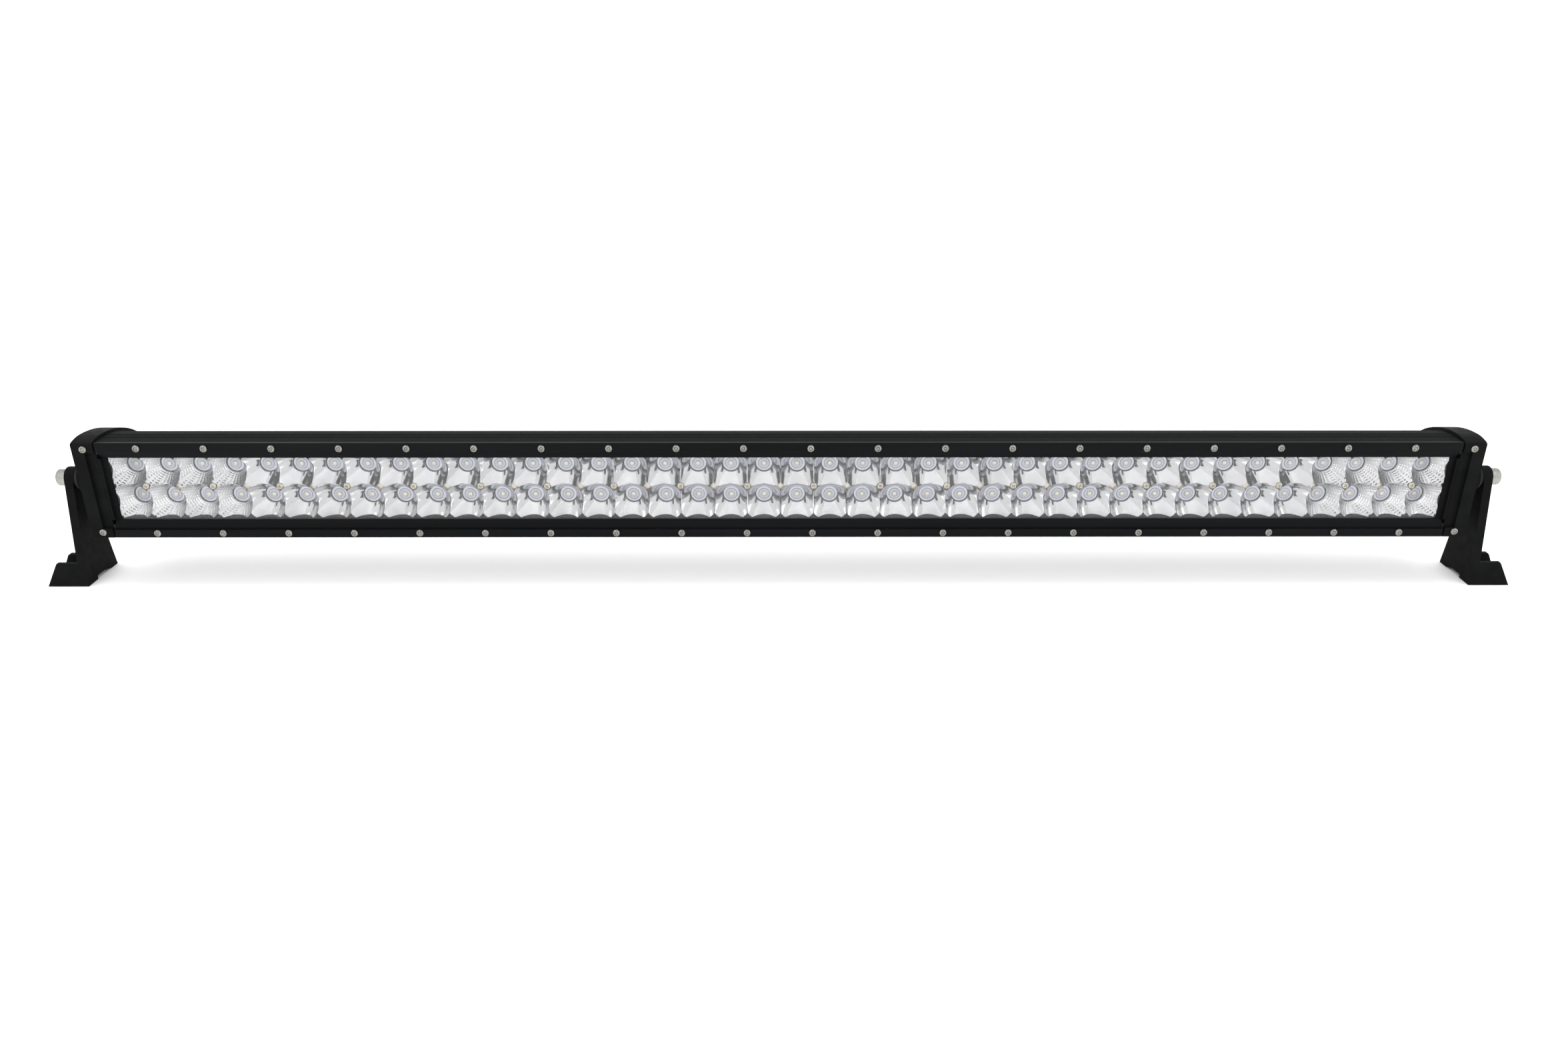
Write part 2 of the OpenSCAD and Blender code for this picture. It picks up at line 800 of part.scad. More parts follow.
housing();
mirror_left() end_cap();  // left_end_cap
end_cap();  // right_end_cap
mirror_left() cap_seal();  // left_cap_gasket
cap_seal();  // right_cap_gasket
top_bezel();
bottom_bezel();
bezel_screw_row(bezel_screw_z, top_row_shift);  // top_bezel_screws
bezel_screw_row(-bezel_screw_z, bottom_row_shift);  // bottom_bezel_screws
mirror_left() cap_front_screws();  // left_cap_front_screws
cap_front_screws();  // right_cap_front_screws
mirror_left() cap_side_screws();  // left_cap_side_screws
cap_side_screws();  // right_cap_side_screws
lens();
lens_gasket();
for (i = [0 : module_count - 1])
    reflector(i);
reflector_screws();
led_board(-optics_length / 2, -board_seam);  // left_led_board
led_board(board_seam, optics_length / 2);  // right_led_board
led_bodies();
led_domes();
driver_board();
gland_body();
gland_nut();
gland_seal();
gland_o_ring();
breather_vent();
mirror_left() bracket();  // left_bracket
bracket();  // right_bracket
mirror_left() pivot_bolt();  // left_pivot_bolt
pivot_bolt();  // right_pivot_bolt
mirror_left() friction_washer();  // left_friction_washer
friction_washer();  // right_friction_washer
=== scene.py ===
"""The look of a straight double-row LED light bar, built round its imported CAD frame.

The frame is in metres: X runs along the bar, -Y is the way the lamp shines, Z is up.
Outlines and radii below are in millimetres, in lamp places (x, depth, z): depth runs back
from the lamp's flat front and z is measured from the middle of the lamp.
"""
import math

import bmesh
import bpy
from mathutils import Matrix, Vector


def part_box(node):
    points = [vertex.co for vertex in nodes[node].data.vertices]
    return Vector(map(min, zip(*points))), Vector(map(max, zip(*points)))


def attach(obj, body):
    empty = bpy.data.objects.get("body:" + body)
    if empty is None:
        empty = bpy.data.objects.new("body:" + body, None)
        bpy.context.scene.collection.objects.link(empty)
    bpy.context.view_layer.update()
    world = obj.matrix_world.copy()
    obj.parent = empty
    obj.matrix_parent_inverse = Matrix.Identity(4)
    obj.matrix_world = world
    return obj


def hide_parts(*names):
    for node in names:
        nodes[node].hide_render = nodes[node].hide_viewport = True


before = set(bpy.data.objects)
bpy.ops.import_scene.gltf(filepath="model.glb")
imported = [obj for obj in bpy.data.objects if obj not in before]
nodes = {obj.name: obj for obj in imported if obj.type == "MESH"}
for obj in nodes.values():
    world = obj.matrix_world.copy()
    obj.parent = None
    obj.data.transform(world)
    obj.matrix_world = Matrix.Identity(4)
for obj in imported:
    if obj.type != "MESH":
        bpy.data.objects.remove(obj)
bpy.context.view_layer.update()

MM = 0.001
MODULES = 20
FLOOD_MODULES = (1, 2, MODULES - 1, MODULES)

# ---- Places taken from the frame --------------------------------------

bezel_low, bezel_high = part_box("top_bezel")
FRONT_Y = bezel_low.y
MID_Z = (bezel_high.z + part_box("bottom_bezel")[0].z) / 2
FACE_HALF = (bezel_high.z - MID_Z) / MM
HOUSING_HALF = bezel_high.x / MM
CAP_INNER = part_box("right_cap_gasket")[1].x / MM
friction_low, friction_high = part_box("right_friction_washer")
PIVOT = (friction_low + friction_high) / 2
PIVOT_DEPTH = (PIVOT.y - FRONT_Y) / MM
PIVOT_RISE = (PIVOT.z - MID_Z) / MM
BOLT_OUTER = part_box("right_pivot_bolt")[1].x / MM
BOARD_FRONT = (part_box("left_led_board")[0].y - FRONT_Y) / MM
CELL = (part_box("reflector_01")[1].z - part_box("reflector_01")[0].z) / MM / 4


def place(x, depth, z):
    """A lamp place in millimetres as a point of the frame in metres."""
    return Vector((x * MM, FRONT_Y + depth * MM, MID_Z + z * MM))


# ---- Materials --------------------------------------------------------

def node_tree(name):
    """A new material's node tree, its shader and its object coordinates."""
    material = bpy.data.materials.new(name)
    material.use_nodes = True
    tree = material.node_tree
    shader = tree.nodes["Principled BSDF"]
    place_node = tree.nodes.new("ShaderNodeTexCoord")
    return material, tree, shader, place_node.outputs["Object"]


def noise(tree, where, scale, detail=3.0, stretch=None):
    """A noise texture's factor, stretched by (x, y, z) where that is given."""
    if stretch:
        mapping = tree.nodes.new("ShaderNodeMapping")
        mapping.inputs["Scale"].default_value = stretch
        tree.links.new(where, mapping.inputs["Vector"])
        where = mapping.outputs["Vector"]
    texture = tree.nodes.new("ShaderNodeTexNoise")
    texture.inputs["Scale"].default_value = scale
    texture.inputs["Detail"].default_value = detail
    tree.links.new(where, texture.inputs["Vector"])
    return texture.outputs["Fac"]


def spread(tree, factor, low, high):
    """A factor's middle range mapped to run from low to high."""
    ranged = tree.nodes.new("ShaderNodeMapRange")
    ranged.inputs["From Min"].default_value = 0.3
    ranged.inputs["From Max"].default_value = 0.7
    ranged.inputs["To Min"].default_value = low
    ranged.inputs["To Max"].default_value = high
    tree.links.new(factor, ranged.inputs["Value"])
    return ranged.outputs["Result"]


def ramp(tree, factor, stops):
    """A colour ramp over a factor, with stops of (position, colour)."""
    node = tree.nodes.new("ShaderNodeValToRGB")
    elements = node.color_ramp.elements
    while len(elements) < len(stops):
        elements.new(0.5)
    for element, (position, colour) in zip(elements, stops):
        element.position = position
        element.color = (*colour, 1)
    tree.links.new(factor, node.inputs["Fac"])
    return node.outputs["Color"]


def bump(tree, shader, height, distance):
    """A bump on the shader's normal, of that distance in metres."""
    node = tree.nodes.new("ShaderNodeBump")
    node.inputs["Strength"].default_value = 1.0
    node.inputs["Distance"].default_value = distance
    tree.links.new(height, node.inputs["Height"])
    tree.links.new(node.outputs["Normal"], shader.inputs["Normal"])


def surface(name, dark, light, rough, scale, grain, depth, metal=0.0, specular=0.5,
            stretch=None, coat=0.0, alpha=1.0):
    """A finish whose colour and roughness drift at scale, with a bump of that grain and depth."""
    material, tree, shader, where = node_tree(name)
    drift = noise(tree, where, scale, stretch=stretch)
    colour = ramp(tree, drift, [(0.35, dark), (0.65, light)])
    tree.links.new(colour, shader.inputs["Base Color"])
    tree.links.new(spread(tree, noise(tree, where, scale * 2.3, stretch=stretch), *rough),
                   shader.inputs["Roughness"])
    bump(tree, shader, noise(tree, where, grain, 2.0, stretch), depth)
    shader.inputs["Metallic"].default_value = metal
    shader.inputs["Specular IOR Level"].default_value = specular
    shader.inputs["Coat Weight"].default_value = coat
    shader.inputs["Alpha"].default_value = alpha
    return material


ALONG = (0.04, 1, 1)
anodised = surface("black_anodised", (0.0035, 0.0038, 0.0042), (0.005, 0.0054, 0.006),
                   (0.4, 0.52), 90, 1800, 0.00001, specular=0.05, stretch=ALONG)
powder = surface("black_powder_coat", (0.0068, 0.0072, 0.0072), (0.0078, 0.0083, 0.0083),
                 (0.64, 0.72), 160, 1300, 0.00004, specular=0.015)
cast = surface("black_cast_coat", (0.0045, 0.0047, 0.0048), (0.0065, 0.0068, 0.007),
               (0.55, 0.68), 70, 1100, 0.00006, specular=0.03)
steel = surface("stainless_steel", (0.2, 0.195, 0.18), (0.3, 0.29, 0.27), (0.24, 0.36),
                500, 3000, 0.000008, metal=1.0)
turned = surface("turned_steel", (0.25, 0.245, 0.225), (0.36, 0.355, 0.33), (0.34, 0.46),
                 300, 2600, 0.00001, metal=1.0, stretch=(6, 1, 1))
zinc = surface("pale_zinc", (0.38, 0.34, 0.26), (0.5, 0.46, 0.37), (0.26, 0.4),
               600, 3000, 0.000008, metal=1.0)
chrome = surface("metallised_moulding", (0.6, 0.6, 0.605), (0.7, 0.7, 0.705), (0.05, 0.11),
                 45, 140, 0.00003, metal=1.0)
rubber = surface("black_rubber", (0.008, 0.008, 0.008), (0.014, 0.014, 0.014), (0.6, 0.75),
                 120, 2200, 0.00003, specular=0.2)
nylon = surface("black_nylon", (0.009, 0.009, 0.0095), (0.014, 0.014, 0.015), (0.34, 0.45),
                120, 1500, 0.00002, specular=0.3)
clear = surface("clear_polycarbonate", (0.93, 0.95, 0.96), (0.97, 0.98, 0.99), (0.02, 0.05),
                30, 60, 0.000004, specular=0.2, alpha=0.05)
mask = surface("white_solder_mask", (0.62, 0.56, 0.47), (0.7, 0.64, 0.55), (0.4, 0.5),
               200, 900, 0.00001)
package = surface("led_package", (0.3, 0.32, 0.4), (0.38, 0.4, 0.48), (0.3, 0.42),
                  900, 2000, 0.000005)
pad = surface("led_pad", (0.78, 0.78, 0.86), (0.86, 0.86, 0.92), (0.3, 0.42),
              700, 1800, 0.000006)
cup = surface("led_cup", (0.56, 0.56, 0.62), (0.64, 0.64, 0.7), (0.3, 0.42),
              700, 1800, 0.000006)
dome = surface("silicone_dome", (0.6, 0.61, 0.65), (0.68, 0.68, 0.71), (0.04, 0.08),
               500, 900, 0.000004, coat=0.4, alpha=0.2)
phosphor = surface("phosphor", (0.86, 0.86, 0.6), (0.93, 0.92, 0.7), (0.5, 0.65),
                   3000, 6000, 0.000008)
board_green = surface("green_board", (0.02, 0.10, 0.04), (0.03, 0.15, 0.06), (0.35, 0.5),
                      300, 1500, 0.00002)


# ---- Mesh helpers -----------------------------------------------------

def sharpen(bm, angle=32):
    """Smooth faces, with the edges sharper than angle kept hard."""
    limit = math.radians(angle)
    for face in bm.faces:
        face.smooth = True
    for edge in bm.edges:
        if len(edge.link_faces) == 2 and edge.calc_face_angle(0) > limit:
            edge.smooth = False


def piece(name, bm, material, body="lamp", stands_for=(), even=False):
    """Ends a bmesh as a piece that rides on a body and stands for CAD nodes."""
    bmesh.ops.recalc_face_normals(bm, faces=bm.faces)
    mesh = bpy.data.meshes.new(name)
    bm.to_mesh(mesh)
    bm.free()
    mesh.materials.append(material)
    made = bpy.data.objects.new(name, mesh)
    bpy.context.scene.collection.objects.link(made)
    if even:
        made.modifiers.new("even_normals", "WEIGHTED_NORMAL").keep_sharp = True
    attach(made, body)
    if stands_for:
        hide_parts(*stands_for)
    return made


def prism(bm, outline, x0, x1):
    """Extrudes a lamp outline of (depth, z) points along X from x0 to x1."""
    near = [bm.verts.new(place(x0, d, z)) for d, z in outline]
    far = [bm.verts.new(place(x1, d, z)) for d, z in outline]
    bm.faces.new(near)
    bm.faces.new(far)
    for i in range(len(outline)):
        j = (i + 1) % len(outline)
        bm.faces.new([near[i], near[j], far[j], far[i]])
    bmesh.ops.recalc_face_normals(bm, faces=bm.faces)
    return bm


def round_edges(bm, width, segments=2, angle=30):
    """Bevels every edge sharper than angle."""
    limit = math.radians(angle)
    sharp = [e for e in bm.edges if len(e.link_faces) == 2 and e.calc_face_angle(0) > limit]
    bmesh.ops.bevel(bm, geom=sharp, offset=width * MM, segments=segments, profile=0.6,
                    affect="EDGES", clamp_overlap=True)


def lathe(bm, profile, to_frame, steps=48):
    """Turns (radius, height) points round +Z, in millimetres, and places them by to_frame.

    A radius may be a function of the angle, and a radius of 0 closes the shape.
    """
    rings = []
    for radius, height in profile:
        count = steps if radius else 1
        ring = []
        for i in range(count):
            a = math.tau * i / steps
            r = radius(a) if callable(radius) else radius
            ring.append(bm.verts.new(to_frame @ Vector((r * math.cos(a), r * math.sin(a), height))))
        rings.append(ring)
    for lower, upper in zip(rings, rings[1:]):
        for i in range(steps):
            j = (i + 1) % steps
            corners = [lower[i % len(lower)], lower[j % len(lower)],
                       upper[j % len(upper)], upper[i % len(upper)]]
            distinct = list(dict.fromkeys(corners))
            if len(distinct) > 2:
                bm.faces.new(distinct)


def facing(x, depth, z, direction):
    """Places a part drawn up +Z in millimetres at a lamp place, pointing along direction."""
    turn = Vector((0, 0, 1)).rotation_difference(Vector(direction)).to_matrix().to_4x4()
    return Matrix.Translation(place(x, depth, z)) @ turn @ Matrix.Scale(MM, 4)


def mirrored(bm):
    """The same shape on the other side of the bar's middle."""
    copy = bm.copy()
    bmesh.ops.scale(copy, vec=(-1, 1, 1), verts=copy.verts)
    bmesh.ops.reverse_faces(copy, faces=copy.faces)
    return copy


def both_sides(name, bm, material, even=False):
    """A right-hand part of the lamp and its mirror image, for right_name and left_name."""
    for side, shape in (("left", mirrored(bm)), ("right", bm)):
        node = f"{side}_{name}"
        piece(f"{node}_shape", shape, material, stands_for=[node], even=even)


# ---- Housing and bezels -----------------------------------------------

BEZEL = [(0.6, FACE_HALF), (0, FACE_HALF - 0.6), (0, 31.5), (2.6, 31.5), (2.6, 30.6),
         (5.2, 25), (6, 25), (6, 31.3), (3.5, 31.3), (3.5, FACE_HALF)]


def make_bezels():
    for node, sign in (("top_bezel", 1), ("bottom_bezel", -1)):
        bm = prism(bmesh.new(), [(d, sign * z) for d, z in BEZEL], -HOUSING_HALF, HOUSING_HALF)
        round_edges(bm, 0.3, 3, 20)
        sharpen(bm)
        piece(f"{node}_strip", bm, anodised, stands_for=[node], even=True)


# ---- Screws and bolts -------------------------------------------------

def hex_recess(across):
    """A radius that follows a hexagon of that width across its flats."""
    def radius(a):
        return across / 2 / math.cos((a + math.pi / 6) % (math.pi / 3) - math.pi / 6)
    return radius


def cross_recess(reach, half_width):
    """A radius that follows a cross of two bars."""
    def radius(a):
        near = abs((a + math.pi / 4) % (math.pi / 2) - math.pi / 4)
        along = reach / math.cos(near)
        across = half_width / max(math.sin(near), 1e-6)
        return max(min(along, across), half_width * math.sqrt(2))
    return radius


def screw_head(bm, to_frame, head_r, head_h, recess, recess_depth, shank_r=1.5, shank=3.0):
    """A domed head on a short shank, with a shaped recess in its top."""
    arc = [math.radians(a) for a in range(0, 51, 10)]
    domed = [(head_r * math.cos(t), 0.3 + (head_h - 0.3) * math.sin(t) / math.sin(arc[-1]))
             for t in arc]
    profile = [(0, -shank), (shank_r, -shank), (shank_r, 0), (head_r - 0.2, 0), (head_r, 0.12)]
    profile += domed
    profile += [(lambda a: recess(a) + 0.12, head_h), (recess, head_h - 0.12),
                (lambda a: recess(a) * 0.95, head_h - recess_depth),
                (0, head_h - recess_depth - 0.25)]
    lathe(bm, profile, to_frame)


def row_places(node, head_d, count):
    """Centres along X of a row of equal heads, from the row's box."""
    low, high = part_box(node)
    first = low.x / MM + head_d / 2
    last = high.x / MM - head_d / 2
    return [first + (last - first) * i / (count - 1) for i in range(count)]


FORWARD = (0, -1, 0)
OUTWARD = (1, 0, 0)
HEAD_R = 2.8
HEAD_H = (FRONT_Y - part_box("top_bezel_screws")[0].y) / MM
BEZEL_SCREW_INSET = 4.1
CAP_SCREW_INSET = 4.8
M3_HEX = 2.6
SIDE_SCREWS = ((20, FACE_HALF - 4), (20, 4 - FACE_HALF), (31.7, 16), (31.7, -16))
SIDE_HEAD_R = 3.0
SIDE_HEAD_H = 1.9
CAP_FACE = CAP_INNER + 16.9


def make_bezel_screws():
    for node, sign in (("top_bezel_screws", 1), ("bottom_bezel_screws", -1)):
        bm = bmesh.new()
        for i, x in enumerate(row_places(node, 2 * HEAD_R, MODULES)):
            spin = Matrix.Rotation(math.radians(23 * i % 60), 4, "Z")
            screw_head(bm, facing(x, 0, sign * (FACE_HALF - BEZEL_SCREW_INSET), FORWARD) @ spin,
                       HEAD_R, HEAD_H, hex_recess(M3_HEX), 1.0)
        sharpen(bm, 40)
        piece(f"{node}_heads", bm, steel, stands_for=[node])


def make_cap_screws():
    x = (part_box("right_cap_front_screws")[0].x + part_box("right_cap_front_screws")[1].x) / 2 / MM
    front = bmesh.new()
    for z in (FACE_HALF - CAP_SCREW_INSET, CAP_SCREW_INSET - FACE_HALF):
        screw_head(front, facing(x, 0, z, FORWARD), HEAD_R, HEAD_H, hex_recess(M3_HEX), 1.0)
    sharpen(front, 40)
    both_sides("cap_front_screws", front, steel)
    side = bmesh.new()
    for depth, z in SIDE_SCREWS:
        screw_head(side, facing(CAP_FACE, depth, z, OUTWARD), SIDE_HEAD_R, SIDE_HEAD_H,
                   hex_recess(M3_HEX), 1.1)
    sharpen(side, 40)
    both_sides("cap_side_screws", side, steel)


def knurl(radius, teeth, depth):
    """A radius with that many rounded teeth."""
    return lambda a: radius - depth * (0.5 + 0.5 * math.cos(teeth * a))


def make_pivot_bolts():
    """M8 socket screws with a knurled head."""
    head_h = 8
    head_r = 6.3
    shank_r = 4.0
    reach = BOLT_OUTER - head_h
    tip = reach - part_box("right_pivot_bolt")[0].x / MM
    socket = hex_recess(6.0)
    grip = knurl(6.5, 32, 0.22)
    profile = [(0, -tip), (3.6, -tip), (shank_r, 0.5 - tip), (shank_r, 0), (6.1, 0),
               (head_r, 0.3), (grip, 0.7), (grip, 6.9), (head_r, 7.2), (head_r, 7.5),
               (5.9, 7.95), (5.6, head_h), (lambda a: socket(a) + 0.3, head_h), (socket, 7.7),
               (lambda a: socket(a) * 0.97, 4.0), (0, 3.4)]
    bm = bmesh.new()
    lathe(bm, profile, facing(reach, PIVOT_DEPTH, PIVOT_RISE, OUTWARD), 128)
    sharpen(bm, 40)
    both_sides("pivot_bolt", bm, turned)


def make_gland_nut():
    """A fluted dome nut with the cable's hole through it."""
    low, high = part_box("gland_nut")
    x = (low.x + high.x) / 2 / MM
    depth = (low.y - FRONT_Y) / MM
    length = (high.y - low.y) / MM
    grip = knurl(8.2, 14, 0.5)
    profile = [(6.6, 0), (7.9, 0), (grip, 0.5), (grip, length - 3.2), (7.6, length - 2.5),
               (6.4, length - 0.7), (5.6, length - 0.15), (5.2, length), (3.9, length),
               (3.55, length - 0.4), (3.55, length - 3), (6.6, length - 3.4), (6.6, 0)]
    bm = bmesh.new()
    lathe(bm, profile, facing(x, depth, 0, (0, 1, 0)), 112)
    bmesh.ops.remove_doubles(bm, verts=bm.verts, dist=1e-7)
    sharpen(bm, 40)
    piece("gland_nut_fluted", bm, nylon, stands_for=["gland_nut"])


# ---- Reflectors -------------------------------------------------------

BOWL_DEPTH = 28.6
RIM_R = 15.53
NECK_R = 6.7
WELL_R = 3.0
CORNER = CELL * math.sqrt(2)
BASE_DEPTH = BOARD_FRONT - 1.6


def bowl_depth(radius):
    return BOWL_DEPTH - radius * radius / CELL


def reach(angle, well_quadrant):
    """How far a bowl extends from its axis at that angle, in its square cell."""
    edge = CELL / max(abs(math.cos(angle)), abs(math.sin(angle)))
    limit = min(RIM_R, edge)
    off = angle - well_quadrant
    if math.cos(off) > 0 and CORNER * abs(math.sin(off)) < WELL_R:
        to_well = CORNER * math.cos(off) - math.sqrt(WELL_R ** 2 - (CORNER * math.sin(off)) ** 2)
        limit = min(limit, to_well)
    return limit


def bowl_angles(per_edge, per_arc):
    """Directions round a bowl, with one at each place where rim meets ridge."""
    turn = math.acos(CELL / RIM_R)
    quarter = [turn * i / per_edge for i in range(per_edge)]
    quarter += [turn + (math.pi / 2 - 2 * turn) * i / per_arc for i in range(per_arc)]
    quarter += [math.pi / 2 - turn + turn * i / per_edge for i in range(per_edge)]
    return [q * math.pi / 2 + a for q in range(4) for a in quarter]


def spot_bowl(bm, x, z, well_quadrant):
    """A smooth bowl with its axis at (x, z) in the module."""
    rings = 14
    angles = bowl_angles(8, 6)
    grid = []
    for a in angles:
        limit = reach(a, well_quadrant)
        column = []
        for k in range(rings + 1):
            r = NECK_R + (limit - NECK_R) * k / rings
            column.append(bm.verts.new((x + r * math.cos(a), bowl_depth(r), z + r * math.sin(a))))
        grid.append(column)
    for i in range(len(angles)):
        following = grid[(i + 1) % len(angles)]
        for k in range(rings):
            face = bm.faces.new([grid[i][k], grid[i][k + 1], following[k + 1], following[k]])
            face.smooth = True


def flood_bowl(bm, x, z, well_quadrant):
    """A bowl of pillowed facets in rings."""
    rows = 8
    pillow = 0.22
    angles = bowl_angles(6, 4)
    count = len(angles)
    grid = []
    for i, a in enumerate(angles):
        limit = reach(a, well_quadrant)
        column = []
        for k in range(2 * rows + 1):
            r = min(NECK_R + (RIM_R - NECK_R) * k / (2 * rows), limit)
            inside = r < limit - 0.3
            lift = pillow if i % 2 and k % 2 and inside else 0.0
            slope = math.atan(2 * r / CELL)
            column.append(bm.verts.new((x + (r - lift * math.sin(slope)) * math.cos(a),
                                        bowl_depth(r) - lift * math.cos(slope),
                                        z + (r - lift * math.sin(slope)) * math.sin(a))))
        grid.append(column)
    for i in range(count):
        following = grid[(i + 1) % count]
        for k in range(2 * rows):
            corners = [grid[i][k], grid[i][k + 1], following[k + 1], following[k]]
            spans = [(p.co - q.co).length for p, q in zip(corners, corners[1:] + corners[:1])]
            if sorted(spans)[1] < 1e-5:
                continue
            if min(spans) < 1e-5:
                corners = [p for p, s in zip(corners, spans) if s > 1e-5]
            if len(corners) < 3:
                continue
            face = bm.faces.new(corners)
            face.smooth = True
            for edge in face.edges:
                pair = set(edge.verts)
                if pair in ({grid[i][k], grid[i][k + 1]}, {following[k], following[k + 1]}):
                    edge.smooth = (i if grid[i][k] in pair else i + 1) % 2 == 1
                elif pair in ({grid[i][k], following[k]},):
                    edge.smooth = k % 2 == 1
                elif pair in ({grid[i][k + 1], following[k + 1]},):
                    edge.smooth = (k + 1) % 2 == 1


def module_mesh(flood):
    """One reflector module about its own middle, in millimetres, as (x, depth, z)."""
    bm = bmesh.new()
    bowl = flood_bowl if flood else spot_bowl
    for sx in (-1, 1):
        for sz in (-1, 1):
            towards_middle = math.atan2(-sz, -sx)
            bowl(bm, sx * CELL, sz * CELL, towards_middle % math.tau)
    bmesh.ops.remove_doubles(bm, verts=bm.verts, dist=0.002)
    side = 2 * CELL - 0.1
    for vert in bm.verts:
        vert.co.x = max(-side, min(side, vert.co.x))
    ridges = [e for e in bm.edges if len(e.link_faces) == 2
              and (all(abs(v.co.x) < 0.01 for v in e.verts)
                   or all(abs(v.co.z) < 0.01 for v in e.verts))]
    bmesh.ops.bevel(bm, geom=ridges, offset=0.22, segments=2, profile=0.5, affect="EDGES",
                    clamp_overlap=True)
    open_edges = [e for e in bm.edges if len(e.link_faces) == 1]
    walls = bmesh.ops.extrude_edge_only(bm, edges=open_edges)["geom"]
    for item in walls:
        if isinstance(item, bmesh.types.BMVert):
            item.co.y = BASE_DEPTH
    for item in walls:
        if isinstance(item, bmesh.types.BMFace):
            item.smooth = False
    for edge in open_edges:
        edge.smooth = False
    foot = [e for e in bm.edges if len(e.link_faces) == 1]
    bmesh.ops.triangle_fill(bm, edges=foot, use_beauty=False)
    return bm


def make_reflectors():
    shapes = {flood: module_mesh(flood) for flood in (True, False)}
    for number in range(1, MODULES + 1):
        node = f"reflector_{number:02d}"
        low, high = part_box(node)
        bm = shapes[number in FLOOD_MODULES].copy()
        middle = Matrix.Translation(Vector(((low.x + high.x) / 2, FRONT_Y, MID_Z)))
        bm.transform(middle @ Matrix.Scale(MM, 4))
        piece(f"{node}_moulding", bm, chrome, stands_for=[node])
    for bm in shapes.values():
        bm.free()


def make_spacers():
    """Posts of white board material that fill the gaps where four bowls of two modules meet."""
    post_r = 3.3
    post_h = 15.8
    bm = bmesh.new()
    centres = module_centres()
    for x in [(a + b) / 2 for a, b in zip(centres, centres[1:])]:
        at = facing(x, BOARD_FRONT, 0, FORWARD)
        lathe(bm, [(0, 0), (post_r, 0), (post_r, post_h - 0.4), (post_r - 0.2, post_h),
                   (0, post_h)], at, 4)
    sharpen(bm, 40)
    piece("module_spacers", bm, mask)


def make_potting():
    """Black compound that the driver board is sunk in."""
    skin = 0.4
    low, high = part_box("driver_board")
    front = (low.y - FRONT_Y) / MM - skin
    rear = (high.y - FRONT_Y) / MM + skin
    bottom = (low.z - MID_Z) / MM + 0.02
    top = (high.z - MID_Z) / MM + 0.6
    outline = [(front, bottom), (rear, bottom), (rear, top), (front, top)]
    bm = prism(bmesh.new(), outline, low.x / MM - 1, high.x / MM + 1)
    round_edges(bm, 0.8, 3)
    sharpen(bm)
    piece("driver_potting", bm, rubber, even=True)


def module_centres():
    boxes = [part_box(f"reflector_{n:02d}") for n in range(1, MODULES + 1)]
    return [(low.x + high.x) / 2 / MM for low, high in boxes]


def make_reflector_screws():
    well_floor = 11.6
    screws = bmesh.new()
    for i, x in enumerate(module_centres()):
        spin = Matrix.Rotation(math.radians(37 * i % 90), 4, "Z")
        screw_head(screws, facing(x, well_floor, 0, FORWARD) @ spin, HEAD_R, 1.7,
                   cross_recess(1.5, 0.35), 1.0, shank=14.0)
    sharpen(screws, 40)
    piece("reflector_screw_heads", screws, zinc, stands_for=["reflector_screws"])


# ---- LEDs -------------------------------------------------------------

def led_places():
    return [(x + sx * CELL, sz * CELL) for x in module_centres()
            for sx in (-1, 1) for sz in (-1, 1)]


def square_tile(bm, to_frame, half, height):
    """A thin square tile with a bevelled top."""
    made = []
    for size, level in ((half, 0), (half, height * 0.6), (half * 0.9, height)):
        corners = [(-size, -size), (size, -size), (size, size), (-size, size)]
        made.append([bm.verts.new(to_frame @ Vector((u, v, level))) for u, v in corners])
    for lower, upper in zip(made, made[1:]):
        for i in range(4):
            j = (i + 1) % 4
            bm.faces.new([lower[i], lower[j], upper[j], upper[i]])
    bm.faces.new(made[-1])
    bm.faces.new(made[0])


